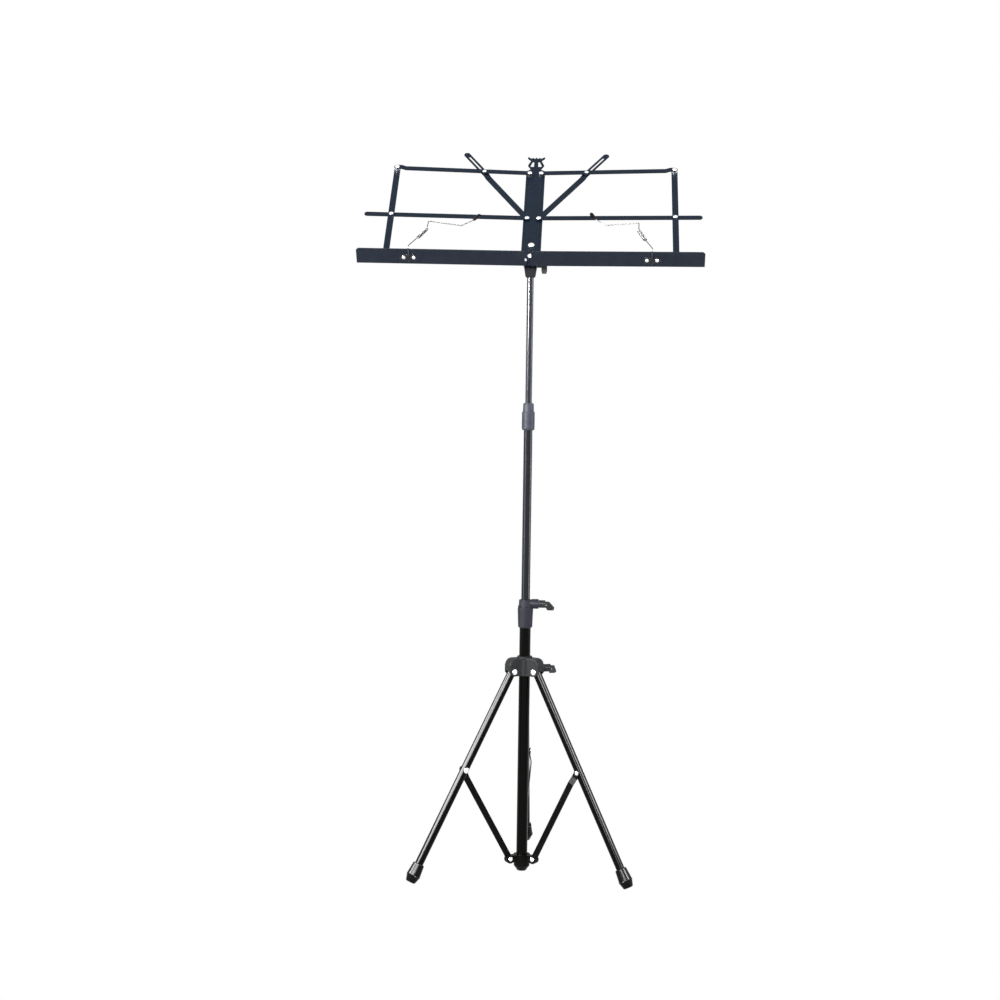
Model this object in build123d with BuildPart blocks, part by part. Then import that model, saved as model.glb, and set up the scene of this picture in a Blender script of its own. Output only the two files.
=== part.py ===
from build123d import *
import os
from math import acos, atan2, cos, degrees, hypot, radians, sin, tan

# Folding music stand: three-legged mast in three tubes and a folding desk.
# Millimetres, +Z up, floor at Z = 0, mast axis on Z, reader's side towards -Y.

# ---------------------------------------------------------------- clearances
running = 0.05           # radial, a rivet or bolt in its hole
sliding = 0.1            # radial, a tube in its collar or guide
face_gap = 0.1           # between faces that slide on each other
screw_gap = 0.1          # between a clamp screw's tip and its tube
rest_gap = 0.2           # left between two pieces that stop on each other
overcut = 10.0           # how far a cutting shape runs past what it cuts

# ---------------------------------------------------------------- mast tubes
lower_tube_d = 16.0
lower_tube_wall = 1.0
lower_tube_bottom = 4.0
lower_tube_top = 384.0
middle_tube_d = 12.5
middle_tube_wall = 0.9
middle_tube_bottom = 329.0
middle_swage_length = 12.0
upper_tube_d = 9.5
upper_tube_wall = 0.8
upper_tube_bottom = 614.0
upper_bush_length = 14.0
upper_bush_lip = 6.0

# ------------------------------------------------------------- mast collars
lower_collar_bottom = 355.0
lower_collar_foot_d = 20.4
lower_collar_shoulder_d = 22.3
lower_collar_neck_d = 19.6
lower_collar_top_d = 18.6
lower_collar_top = 395.4
lower_screw_z = 389.5
collar_rib_count = 18
collar_rib_depth = 0.9
collar_rib_width = 1.2
collar_rib_height = 3.0
boss_d = 14.0
boss_face = 18.8
upper_collar_bottom = 638.6
upper_collar_body_d = 18.4
upper_collar_foot_d = 17.2
upper_collar_foot_height = 2.5
upper_collar_step = 664.6
upper_collar_neck_d = 15.8
upper_collar_top_d = 15.0
upper_collar_top = 676.5
upper_screw_z = 670.5
upper_boss_d = 11.6
upper_boss_face = 13.5

# --------------------------------------------------------------- clamp knobs
screw_d = 5.0
knob_gap = 0.3
knob_hub_d = 11.0
knob_hub_length = 9.7
knob_flutes = 8
knob_flute_d = 1.6
wing_start = 9.2
wing_root_width = 6.0
wing_tip_start = 12.2
wing_tip_end = 22.2
wing_reach = 15.0
wing_back = 4.4
wing_thickness = 4.2
wing_corner = 1.8
wing_edge = 0.9
screw_into_knob = 12.0
lower_wing_turn = 52.0       # the lower knob's wing, back from straight down

# ------------------------------------------------------------------- tripod
leg_headings = {"rear": 90.0, "right": -30.0, "left": 210.0}
link_length = 155.6          # hub pivot to brace rivet, and brace rivet to bracket
pivot_radius = 20.0          # both ends' pivots from the mast axis
hub_pivot_z = 293.0
bracket_pivot_z = 19.5
leg_tube_d = 12.0
leg_tube_wall = 1.0
leg_head_reach = 6.0
foot_length = 28.5
foot_top_d = 16.4
foot_ridge_d = 20.8
foot_ridge_at = 18.5
foot_end_d = 15.0
foot_round = 2.5
foot_floor = 3.0
brace_width = 9.0
brace_thickness = 1.5
brace_bend_start = 9.0
brace_bulge = 9.0
brace_bulge_before = 17.6    # its bends, before the rivet on the leg
brace_return_before = 7.6
rivet_shank_d = 4.0
bracket_head_d = 6.3
hub_head_d = 8.0
leg_head_d = 8.0
brace_head_d = 5.8
head_height = 1.5

# ----------------------------------------------------------- bottom bracket
bracket_bottom = 1.0
bracket_foot_d = 13.0
bracket_foot_height = 7.0
bracket_d = 23.0
bracket_rim_d = 24.0
bracket_top = 24.7
bracket_floor = 3.0
lug_end = 26.5
lug_slot = 2.0
lug_cheek = 3.0
lug_inner = 9.0

# ------------------------------------------------------------- tripod hub
hub_drop = 6.5               # its lower face, below the legs' pivots
hub_band_rise = 17.0         # and its upper edges and screw above them
hub_rise = 21.0
hub_band_d = 25.0
hub_ring_d = 22.0
hub_bore_gap = 0.12
fork_cheek = 2.3
fork_outer = 28.0
fork_shoulder_rise = 9.5
fork_crown_rise = 19.0
fork_crown_radius = 18.5
fork_lobe = 6.5
fork_roof_clear = 1.2
hub_boss_d = 12.0
hub_boss_face = 29.0
hub_screw_rise = 2.5
hub_screw_heading = 20.0
hub_wing_turn = 55.0         # the knob's wing, back from straight down

# -------------------------------------------------------------------- neck
neck_bottom = 853.7
neck_bottom_width = 13.8
neck_width = 17.7
neck_shoulder = 866.5
neck_depth = 12.0
neck_chamfer = 1.5
tube_in_neck = 6.5
tilt_pivot_z = 871.4
tongue_thickness = 3.0
tongue_gap = 0.2
tongue_clear = 1.3           # around the tongue's round end, for the tilt
tilt_bolt_d = 5.0
tilt_head_d = 7.4
tilt_head_height = 1.6
tilt_stem_d = 6.5
tilt_stem_length = 6.2
tilt_wing_width = 8.0
tilt_wing_reach = 12.0
tilt_wing_back = 4.0
tilt_wing_thickness = 5.0
tilt_wing_corner = 1.3

# -------------------------------------------------------------------- desk
desk_lean = 52.0             # desk plane from vertical
tilt_pivot_v = 18.0          # the pivot seen from the shelf's root, up the desk
tilt_pivot_n = -12.9         # and behind the desk's plate
sheet = 1.2                  # strap and ledge metal
plate_thickness = 1.5
plate_half = 13.9
plate_bottom = 1.5
plate_over_rivets = 7.0      # its shoulders above the top rivets
plate_line_inset = 3.2
plate_line_width = 0.8
plate_line_depth = 0.3
plate_line_below = 3.5       # the grooves' ends below the shoulders
strap_width = 9.0
pivot_u = 8.4
top_pivot_v = 220.5
middle_pivot_v = 110.0
ledge_pivot_v = 11.0
wing_length = 196.0          # pivot to end strut, on every rail
wing_lift = 0.6              # the rails' rise outwards, degrees
rail_rise = 1.6              # the upper rail's slope forwards, degrees
middle_rise = 0.66           # the mid rail's slope forwards, degrees
top_spacer = 3.2
spacer_d = 8.0
joggle_start = 13.0
joggle_end = 6.3
joggle_height = 2.0
middle_overhang = 39.0
ledge_past_strut = 39.4
ledge_depth = 25.2
ledge_flange = 5.0
ledge_end_round = 6.0
left_ledge_end = 1.4         # how far each ledge reaches past its pivot
right_ledge_end = 6.9
ledge_corner = 3.0
strut_width = 9.0
desk_rivet_d = 3.0
desk_head_d = 6.6
desk_head_height = 1.0
desk_tail_height = 0.6
big_rivet_d = 4.0
big_head_d = 8.9
big_head_height = 1.8
big_rivet_v = (47.9, 22.2)
diagonal_length = 189.5
diagonal_width = 9.0
slide_at = 66.8              # slide pin on the upper rail, from the rail's pivot
slot_width = 3.0
slot_travel = 47.0
diagonal_joggle = (118.0, 124.0)
diagonal_step = 1.8
slide_washer_d = 6.4
slide_washer = 0.8
slide_head_d = 5.6

# tilt bracket behind the plate
bracket_base_width = 22.0
bracket_base_low = 16.5
bracket_base_high = 54.0
bracket_sheet = 1.5
tongue_round = 5.6

# ------------------------------------------------------------- page holders
clip_at = 161.6              # along the ledge from its pivot
clip_n = 11.5
clip_lobe_d = 11.0
clip_spacing = 14.0
clip_sheet = 1.0
clip_rivet_d = 2.6
clip_head_d = 5.3
clip_head_height = 0.9
clip_length_n = 9.0
wire_d = 1.4
wire_bend = 3.0
wire_tail_n = 4.0
coil_d = 5.4
coil_pitch = 2.4
sleeve_root_d = 3.6
sleeve_tip_d = 5.6
sleeve_past_wire = 1.5
left_holder_turn = 2.0       # degrees inwards
right_holder_turn = -2.0
# wire corners from the clip: inwards along the ledge, up the desk, out from it
holder_path = (
    (0.0, 4.0, 29.4),
    (10.4, 27.0, 27.0),
    (20.0, 52.0, 24.0),
    (20.0, 75.0, 21.0),
    (66.6, 76.0, 14.5),
    (81.0, 92.0, 12.5),
    (89.0, 108.0, 10.5),
)

# ------------------------------------------------------------------ derived
lower_bore_d = lower_tube_d - 2 * lower_tube_wall
middle_bore_d = middle_tube_d - 2 * middle_tube_wall
leg_lean = degrees(acos((hub_pivot_z - bracket_pivot_z) / (2 * link_length)))
foot_end_r = foot_end_d / 2
foot_rim = foot_end_r - foot_round
foot_end_z = (foot_round - foot_round * cos(radians(leg_lean))
              + foot_rim * sin(radians(leg_lean)))
leg_length = (hub_pivot_z - foot_end_z) / cos(radians(leg_lean))
fork_slot = leg_tube_d + 4 * face_gap
hub_bottom = hub_pivot_z - hub_drop
hub_band_top = hub_pivot_z + hub_band_rise
hub_top = hub_pivot_z + hub_rise
fork_shoulder_z = hub_pivot_z + fork_shoulder_rise
fork_crown_z = hub_pivot_z + fork_crown_rise
hub_screw_z = hub_pivot_z + hub_screw_rise
plate_shoulder = top_pivot_v + plate_over_rivets
plate_line_top = plate_shoulder - plate_line_below
desk_up = Vector(0, sin(radians(desk_lean)), cos(radians(desk_lean)))
desk_out = Vector(0, -cos(radians(desk_lean)), sin(radians(desk_lean)))
desk_root = (Vector(0, 0, tilt_pivot_z) - desk_up * tilt_pivot_v
             - desk_out * tilt_pivot_n)
desk = Plane(origin=desk_root, x_dir=(1, 0, 0), z_dir=desk_out)
ledge_length = wing_length + ledge_past_strut
slide_rise = slide_at * sin(radians(wing_lift))
slide_run = slide_at * cos(radians(wing_lift))
diagonal_lean = degrees(atan2(top_pivot_v - middle_pivot_v + slide_rise, slide_run))
slide_s = hypot(top_pivot_v - middle_pivot_v + slide_rise, slide_run)

# layers of the desk, measured out from the plate's front face
ledge_back = face_gap
diagonal_back = face_gap
middle_back = diagonal_back + sheet + face_gap
rail_back = top_spacer + face_gap
strut_at_middle = (middle_back + wing_length * tan(radians(middle_rise))
                   + sheet + 2 * face_gap)

os.makedirs("parts", exist_ok=True)


def save(piece, name):
    """Write one piece to its own file under its own name."""
    piece.label = name
    export_step(piece, f"parts/{name}.step")


def turned(place, outline):
    """A piece spun about the place's normal from (radius, height) corners."""
    side = Plane(origin=place.origin, x_dir=place.x_dir, z_dir=-place.y_dir)
    with BuildPart() as piece:
        with BuildSketch(side):
            with BuildLine():
                Polyline(*outline, close=True)
            make_face()
        revolve(axis=Axis(place.origin, place.z_dir))
    return piece.part


def rivet(place, shank_r, grip, head_r, head, tail_r=0, tail=0):
    """A domed rivet: tail below the place or flush with it, head beyond the grip."""
    below = ((0, 0),)
    if tail:
        below = ((0, -tail), (tail_r * 0.7, -tail), (tail_r, -tail * 0.45), (tail_r, 0))
    outline = (
        *below,
        (shank_r, 0),
        (shank_r, grip),
        (head_r, grip),
        (head_r, grip + head * 0.4),
        (head_r * 0.75, grip + head * 0.85),
        (head_r * 0.35, grip + head),
        (0, grip + head),
    )
    return turned(place, outline)


def ring(place, inner_r, outer_r, height):
    """A plain washer or spacer standing on the place."""
    outline = ((inner_r, 0), (outer_r, 0), (outer_r, height), (inner_r, height))
    return turned(place, outline)


def strap(place, back, width, thickness, start, end, holes=(), slot=None):
    """A flat strap bent only across its thickness.

    back: (along, out) corners of its back face; start and end: how far it
    reaches past its first and last corner, with rounded ends where that is
    half of its width; holes: (along, diameter); slot: (from, to, width).
    """
    first = back[0][0]
    last = back[-1][0]
    front = tuple((x, z + thickness) for x, z in reversed(back))
    side = Plane(origin=place.origin, x_dir=place.x_dir, z_dir=-place.y_dir)
    with BuildPart() as piece:
        with BuildSketch(side):
            with BuildLine():
                Polyline(*back, *front, close=True)
            make_face()
        extrude(amount=width / 2, both=True)
        with BuildSketch(place.offset(-width)):
            with Locations(((first + start + last - end) / 2, 0)):
                Rectangle(last - end - first - start, width)
            with Locations((first + start, 0)):
                Circle(width / 2)
            with Locations((last - end, 0)):
                Circle(width / 2)
        extrude(amount=4 * width, mode=Mode.INTERSECT)
        for along, hole_d in holes:
            with BuildSketch(place.offset(-width)):
                with Locations((along, 0)):
                    Circle(hole_d / 2)
            extrude(amount=4 * width, mode=Mode.SUBTRACT)
        if slot:
            with BuildSketch(place.offset(-width)):
                with Locations(((slot[0] + slot[1]) / 2, 0)):
                    SlotCenterToCenter(slot[1] - slot[0], slot[2])
            extrude(amount=4 * width, mode=Mode.SUBTRACT)
    return piece.part


# =================================================================== mast
with BuildPart() as lower_tube:
    with BuildSketch(Plane.XY.offset(lower_tube_bottom)):
        Circle(lower_tube_d / 2)
        Circle(lower_bore_d / 2, mode=Mode.SUBTRACT)
    extrude(amount=lower_tube_top - lower_tube_bottom)
save(lower_tube.part, "lower_tube")

# middle tube: its lower end is swaged out to fill the lower tube's bore
swage_r = lower_bore_d / 2 - sliding
with BuildPart() as middle_tube:
    with BuildSketch(Plane.XY.offset(middle_tube_bottom)):
        Circle(middle_tube_d / 2)
    extrude(amount=upper_collar_step - rest_gap - middle_tube_bottom)
    with BuildSketch(Plane.XY.offset(middle_tube_bottom)):
        Circle(swage_r)
    extrude(amount=middle_swage_length)
    chamfer(faces().filter_by(GeomType.CYLINDER).sort_by(SortBy.RADIUS)[-1].edges()
            .filter_by(GeomType.CIRCLE), length=swage_r - middle_tube_d / 2 - 0.05)
    with BuildSketch(Plane.XY.offset(middle_tube_bottom)):
        Circle(middle_bore_d / 2)
    extrude(amount=upper_collar_step - middle_tube_bottom, mode=Mode.SUBTRACT)
save(middle_tube.part, "middle_tube")

with BuildPart() as upper_tube:
    with BuildSketch(Plane.XY.offset(upper_tube_bottom)):
        Circle(upper_tube_d / 2)
        Circle(upper_tube_d / 2 - upper_tube_wall, mode=Mode.SUBTRACT)
    extrude(amount=neck_bottom + tube_in_neck - upper_tube_bottom)
save(upper_tube.part, "upper_tube")

# guide bush: the upper tube's lower end turns in it, and it slides in the
# middle tube; its lip closes it below
bush_r = middle_bore_d / 2 - sliding
bush_bore = upper_tube_d / 2 - upper_tube_wall - running
upper_bush = turned(
    Plane.XY.offset(upper_tube_bottom - face_gap - upper_bush_lip),
    (
        (bush_bore - 1.5, 0),
        (bush_r - 0.5, 0),
        (bush_r, 0.5),
        (bush_r, upper_bush_lip),
        (bush_bore, upper_bush_lip),
        (bush_bore, upper_bush_lip + upper_bush_length),
        (bush_bore - 1.5, upper_bush_lip + upper_bush_length),
    ),
)
save(upper_bush, "upper_guide_bush")

# ------------------------------------------------------------ lower collar
with BuildPart() as lower_collar:
    with BuildSketch(Plane.XZ):
        with BuildLine():
            Polyline(
                (0, lower_collar_bottom),
                (lower_collar_foot_d / 2 - 1.5, lower_collar_bottom),
                (lower_collar_foot_d / 2, lower_collar_bottom + 1.5),
                (lower_collar_shoulder_d / 2, lower_tube_top - 1),
                (lower_collar_shoulder_d / 2 - 0.8, lower_tube_top),
                (lower_collar_neck_d / 2, lower_tube_top),
                (lower_collar_top_d / 2, lower_collar_top - 0.6),
                (lower_collar_top_d / 2 - 0.6, lower_collar_top),
                (0, lower_collar_top),
                close=True,
            )
        make_face()
    revolve(axis=Axis.Z)
    with BuildSketch(Plane.XY.offset(lower_tube_top - 0.5)):
        with PolarLocations(lower_collar_neck_d / 2, collar_rib_count):
            Rectangle(2 * collar_rib_depth, collar_rib_width)
    extrude(amount=collar_rib_height)
    with BuildSketch(Plane.YZ):
        with Locations((0, lower_screw_z)):
            Circle(boss_d / 2)
    extrude(amount=boss_face)
    fillet(faces().sort_by(Axis.X)[-1].edges(), radius=0.8)
    with BuildSketch(Plane.XY.offset(lower_collar_top)):
        Circle(lower_collar_top_d / 2 + 0.4)
    extrude(amount=boss_d, mode=Mode.SUBTRACT)
    with BuildSketch(Plane.XY.offset(lower_collar_bottom)):
        Circle(lower_tube_d / 2)
    extrude(amount=lower_tube_top - lower_collar_bottom, mode=Mode.SUBTRACT)
    with BuildSketch(Plane.XY.offset(lower_tube_top)):
        Circle(middle_tube_d / 2 + sliding)
    extrude(amount=boss_d, mode=Mode.SUBTRACT)
    with BuildSketch(Plane.YZ):
        with Locations((0, lower_screw_z)):
            Circle(screw_d / 2 + running)
    extrude(amount=boss_face, mode=Mode.SUBTRACT)
save(lower_collar.part, "lower_collar")

# ------------------------------------------------------------ upper collar
with BuildPart() as upper_collar:
    with BuildSketch(Plane.XZ):
        with BuildLine():
            Polyline(
                (0, upper_collar_bottom),
                (upper_collar_foot_d / 2, upper_collar_bottom),
                (upper_collar_body_d / 2, upper_collar_bottom + upper_collar_foot_height),
                (upper_collar_body_d / 2, upper_collar_step - 0.7),
                (upper_collar_body_d / 2 - 0.7, upper_collar_step),
                (upper_collar_neck_d / 2, upper_collar_step),
                (upper_collar_top_d / 2, upper_collar_top - 0.8),
                (upper_collar_top_d / 2 - 0.8, upper_collar_top),
                (0, upper_collar_top),
                close=True,
            )
        make_face()
    revolve(axis=Axis.Z)
    with BuildSketch(Plane.XZ):
        with Locations((0, upper_screw_z)):
            Circle(upper_boss_d / 2)
    extrude(amount=-upper_boss_face)
    fillet(faces().sort_by(Axis.Y)[-1].edges(), radius=0.7)
    with BuildSketch(Plane.XY.offset(upper_collar_bottom)):
        Circle(middle_tube_d / 2)
    extrude(amount=upper_collar_step - upper_collar_bottom, mode=Mode.SUBTRACT)
    with BuildSketch(Plane.XY.offset(upper_collar_step)):
        Circle(upper_tube_d / 2 + sliding)
    extrude(amount=boss_d, mode=Mode.SUBTRACT)
    with BuildSketch(Plane.XZ):
        with Locations((0, upper_screw_z)):
            Circle(screw_d / 2 + running)
    extrude(amount=-upper_boss_face, mode=Mode.SUBTRACT)
save(upper_collar.part, "upper_collar")


# ------------------------------------------------------- winged clamp knobs
def clamp_knob(place):
    """A fluted knob with one wing along the place's x; it lies on the boss face."""
    wing_place = Plane(origin=place.origin, x_dir=place.z_dir, z_dir=place.y_dir)
    with BuildPart() as knob:
        with BuildSketch(wing_place):
            with BuildLine():
                Polyline(
                    (wing_start, -wing_back),
                    (wing_start + wing_root_width, -wing_back),
                    (wing_tip_end, wing_reach - 4),
                    (wing_tip_end - 1, wing_reach),
                    (wing_tip_start, wing_reach),
                    (wing_start, wing_reach - 9),
                    close=True,
                )
            make_face()
            fillet(vertices(), radius=wing_corner)
        extrude(amount=wing_thickness / 2, both=True)
        fillet(faces().sort_by(Axis(place.origin, place.y_dir))[-1].edges(), radius=wing_edge)
        fillet(faces().sort_by(Axis(place.origin, place.y_dir))[0].edges(), radius=wing_edge)
        with BuildSketch(place.offset(knob_gap)):
            Circle(knob_hub_d / 2)
            with PolarLocations(knob_hub_d / 2, knob_flutes):
                Circle(knob_flute_d / 2, mode=Mode.SUBTRACT)
        extrude(amount=knob_hub_length - knob_gap)
        with BuildSketch(place.offset(knob_gap)):
            Circle(knob_hub_d / 2)
        extrude(amount=1.5)
        with BuildSketch(place):
            Circle(screw_d / 2)
        extrude(amount=screw_into_knob, mode=Mode.SUBTRACT)
    return knob.part


def clamp_screw(place, tube_surface):
    """The knob's screw, from its tip at the tube's surface into the knob."""
    tip = place.offset(-tube_surface)
    length = tube_surface + screw_into_knob
    outline = (
        (0, 0),
        (screw_d / 2 - 0.8, 0),
        (screw_d / 2, 0.8),
        (screw_d / 2, length),
        (0, length),
    )
    return turned(tip, outline)


lower_wing_dir = Vector(0, sin(radians(lower_wing_turn)), -cos(radians(lower_wing_turn)))
lower_knob_place = Plane(origin=(boss_face, 0, lower_screw_z),
                         x_dir=lower_wing_dir, z_dir=(1, 0, 0))
save(clamp_knob(lower_knob_place), "lower_knob")
save(clamp_screw(lower_knob_place, boss_face - middle_tube_d / 2 - screw_gap), "lower_knob_screw")

upper_knob_place = Plane(origin=(0, upper_boss_face, upper_screw_z),
                         x_dir=(0, 0, 1), z_dir=(0, 1, 0))
save(clamp_knob(upper_knob_place), "upper_knob")
save(clamp_screw(upper_knob_place, upper_boss_face - upper_tube_d / 2 - screw_gap),
     "upper_knob_screw")

hub_screw_dir = Vector(cos(radians(hub_screw_heading)), sin(radians(hub_screw_heading)), 0)
hub_side_dir = Vector(-sin(radians(hub_screw_heading)), cos(radians(hub_screw_heading)), 0)
hub_wing_dir = (hub_side_dir * sin(radians(hub_wing_turn))
                - Vector(0, 0, cos(radians(hub_wing_turn))))
hub_knob_place = Plane(origin=hub_screw_dir * hub_boss_face + Vector(0, 0, hub_screw_z),
                       x_dir=hub_wing_dir, z_dir=hub_screw_dir)
save(clamp_knob(hub_knob_place), "hub_knob")
save(clamp_screw(hub_knob_place, hub_boss_face - lower_tube_d / 2 - screw_gap), "hub_knob_screw")

# ================================================================= tripod
# built for a leg along +X, then turned about Z to each heading
lean_sin = sin(radians(leg_lean))
lean_cos = cos(radians(leg_lean))
leg_dir = Vector(lean_sin, 0, -lean_cos)
brace_dir = Vector(lean_sin, 0, lean_cos)
hub_pivot = Vector(pivot_radius, 0, hub_pivot_z)
bracket_pivot = Vector(pivot_radius, 0, bracket_pivot_z)
brace_joint = hub_pivot + leg_dir * link_length
leg_place = Plane(origin=hub_pivot, x_dir=(0, 1, 0), z_dir=leg_dir)
across = Plane(origin=hub_pivot, x_dir=leg_dir, z_dir=(0, 1, 0))

with BuildPart() as leg:
    with BuildSketch(leg_place.offset(-leg_head_reach)):
        Circle(leg_tube_d / 2)
    extrude(amount=leg_length + leg_head_reach - foot_floor)
    with BuildSketch(across):
        with Locations((-leg_head_reach, 0)):
            Rectangle(2 * leg_head_reach, 2 * leg_head_reach)
        Circle(leg_head_reach, mode=Mode.SUBTRACT)
    extrude(amount=leg_tube_d, both=True, mode=Mode.SUBTRACT)
    with BuildSketch(leg_place.offset(-leg_head_reach)):
        Circle(leg_tube_d / 2 - leg_tube_wall)
    extrude(amount=leg_length + leg_head_reach, mode=Mode.SUBTRACT)
    with BuildSketch(across):
        Circle(rivet_shank_d / 2 + running)
        with Locations((link_length, 0)):
            Circle(rivet_shank_d / 2)
    extrude(amount=leg_tube_d, both=True, mode=Mode.SUBTRACT)

foot_place = leg_place.offset(leg_length - foot_length)
foot = turned(
    foot_place,
    (
        (leg_tube_d / 2, 0),
        (foot_top_d / 2 - 0.6, 0),
        (foot_top_d / 2, 0.6),
        (foot_ridge_d / 2 - 0.5, foot_ridge_at - 1),
        (foot_ridge_d / 2, foot_ridge_at),
        (foot_ridge_d / 2 - 0.8, foot_ridge_at + 0.8),
        (foot_end_r + 0.05, foot_length - foot_round),
        (foot_end_r, foot_length - foot_round),
        (foot_end_r - foot_round * 0.134, foot_length - foot_round * 0.5),
        (foot_end_r - foot_round * 0.5, foot_length - foot_round * 0.134),
        (foot_rim, foot_length),
        (0, foot_length),
        (0, foot_length - foot_floor),
        (leg_tube_d / 2, foot_length - foot_floor),
    ),
)

# brace: centred between its lugs, then bent clockwise past the leg
brace_place = Plane(origin=bracket_pivot, x_dir=brace_dir, z_dir=(0, -1, 0))
brace_seat = leg_tube_d / 2 + face_gap
half_strap = brace_thickness / 2
brace = strap(
    brace_place,
    (
        (-brace_width / 2, -half_strap),
        (brace_bend_start, -half_strap),
        (link_length - brace_bulge_before, brace_bulge - half_strap),
        (link_length - brace_return_before, brace_seat),
        (link_length + brace_width / 2, brace_seat),
    ),
    brace_width,
    brace_thickness,
    brace_width / 2,
    brace_width / 2,
    holes=((0, rivet_shank_d + 2 * running), (link_length, rivet_shank_d + 2 * running)),
)

# brace rivet: big head on the bare side of the leg, small head on the brace
rivet_place = Plane(origin=brace_joint + Vector(0, leg_tube_d / 2, 0),
                    x_dir=leg_dir, z_dir=(0, -1, 0))
leg_rivet_grip = leg_tube_d + face_gap + brace_thickness + face_gap
leg_rivet = rivet(rivet_place, rivet_shank_d / 2, leg_rivet_grip, brace_head_d / 2,
                  head_height, leg_head_d / 2, head_height)

for name, heading in leg_headings.items():
    save(leg.part.rotate(Axis.Z, heading), f"{name}_leg")
    save(foot.rotate(Axis.Z, heading), f"{name}_foot")
    save(brace.rotate(Axis.Z, heading), f"{name}_brace")
    save(leg_rivet.rotate(Axis.Z, heading), f"{name}_leg_rivet")

# --------------------------------------------------------- bottom bracket
lug_half = lug_slot / 2 + lug_cheek
lug_round = lug_end - pivot_radius
with BuildPart() as lug:
    with BuildSketch(Plane.XZ):
        with Locations((pivot_radius, bracket_pivot_z)):
            Circle(lug_round)
        with BuildLine():
            Polyline(
                (lug_inner, bracket_top),
                (pivot_radius, bracket_pivot_z + lug_round),
                (pivot_radius, bracket_pivot_z - lug_round),
                (lug_inner, bracket_pivot_z - lug_round + 2.5),
                close=True,
            )
        make_face()
    extrude(amount=lug_half, both=True)
    with BuildSketch(Plane.XY.offset(bracket_top)):
        with Locations((pivot_radius, 0)):
            Rectangle(4 * pivot_radius, 4 * lug_half)
    extrude(amount=lug_round, mode=Mode.SUBTRACT)
with BuildPart() as lug_slot_cut:
    with BuildSketch(Plane.XZ):
        with Locations((lug_end + bracket_d / 2, bracket_pivot_z)):
            Rectangle(2 * lug_end, 4 * lug_round)
    extrude(amount=lug_slot / 2, both=True)
with BuildPart() as lug_hole:
    with BuildSketch(Plane.XZ):
        with Locations((pivot_radius, bracket_pivot_z)):
            Circle(rivet_shank_d / 2)
    extrude(amount=2 * lug_half, both=True)
lugs = [lug.part.rotate(Axis.Z, a) for a in leg_headings.values()]
lug_slots = [lug_slot_cut.part.rotate(Axis.Z, a) for a in leg_headings.values()]
lug_holes = [lug_hole.part.rotate(Axis.Z, a) for a in leg_headings.values()]
with BuildPart() as bottom_bracket:
    with BuildSketch(Plane.XZ):
        with BuildLine():
            Polyline(
                (0, bracket_bottom),
                (bracket_foot_d / 2, bracket_bottom),
                (bracket_d / 2 - 1.5, bracket_bottom + bracket_foot_height - 2),
                (bracket_d / 2, bracket_bottom + bracket_foot_height),
                (bracket_d / 2, bracket_top - 3),
                (bracket_rim_d / 2, bracket_top - 1),
                (bracket_rim_d / 2, bracket_top),
                (0, bracket_top),
                close=True,
            )
        make_face()
    revolve(axis=Axis.Z)
    add(lugs)
    add(lug_slots, mode=Mode.SUBTRACT)
    add(lug_holes, mode=Mode.SUBTRACT)
    with BuildSketch(Plane.XY.offset(bracket_top)):
        Circle(lower_tube_d / 2)
    extrude(amount=lower_tube_bottom - bracket_top, mode=Mode.SUBTRACT)
save(bottom_bracket.part, "bottom_bracket")

bracket_rivet_place = Plane(origin=bracket_pivot + Vector(0, lug_half, 0),
                            x_dir=(1, 0, 0), z_dir=(0, -1, 0))
bracket_rivet = rivet(bracket_rivet_place, rivet_shank_d / 2, 2 * lug_half,
                      bracket_head_d / 2, head_height, bracket_head_d / 2, head_height)
bracket_rivet_set = [bracket_rivet.rotate(Axis.Z, a) for a in leg_headings.values()]
with BuildPart() as bracket_rivets:
    add(bracket_rivet_set)
save(bracket_rivets.part, "bracket_rivets")

# ------------------------------------------------------------- tripod hub
fork_half = fork_slot / 2 + fork_cheek
roof_r = leg_head_reach + fork_roof_clear
with BuildPart() as fork:
    with BuildSketch(Plane.XZ):
        with Locations((pivot_radius, hub_pivot_z)):
            Circle(fork_lobe)
        with BuildLine():
            Polyline(
                (0, hub_bottom + 1),
                (pivot_radius, hub_bottom),
                (fork_outer - 1, hub_pivot_z - 2),
                (fork_outer, hub_pivot_z + 2),
                (fork_outer, fork_shoulder_z),
                (fork_outer - 1.8, fork_shoulder_z + 5),
                (fork_outer - 5, fork_crown_z - 1.2),
                (fork_crown_radius, fork_crown_z),
                (0, fork_crown_z),
                close=True,
            )
        make_face()
    extrude(amount=fork_half, both=True)
    fillet(edges().filter_by(GeomType.LINE).filter_by(Axis.Y, reverse=True)
           .filter_by_position(Axis.Z, hub_pivot_z + 2.5, hub_top), radius=1.2)
with BuildPart() as fork_cut:
    with BuildSketch(Plane.XZ):
        with Locations((pivot_radius, hub_pivot_z)):
            Circle(roof_r)
        with BuildLine():
            Polyline(
                (pivot_radius - roof_r, hub_pivot_z),
                (pivot_radius - roof_r, hub_bottom - overcut),
                (fork_outer + overcut, hub_bottom - overcut),
                (fork_outer + overcut, hub_pivot_z),
                (pivot_radius + roof_r, hub_pivot_z + 1),
                close=True,
            )
        make_face()
    extrude(amount=fork_slot / 2, both=True)
with BuildPart() as fork_hole:
    with BuildSketch(Plane.XZ):
        with Locations((pivot_radius, hub_pivot_z)):
            Circle(rivet_shank_d / 2)
    extrude(amount=2 * fork_half, both=True)
forks = [fork.part.rotate(Axis.Z, a) for a in leg_headings.values()]
fork_cuts = [fork_cut.part.rotate(Axis.Z, a) for a in leg_headings.values()]
fork_holes = [fork_hole.part.rotate(Axis.Z, a) for a in leg_headings.values()]
hub_boss_place = Plane(origin=(0, 0, hub_screw_z), x_dir=(0, 0, 1), z_dir=hub_screw_dir)
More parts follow.
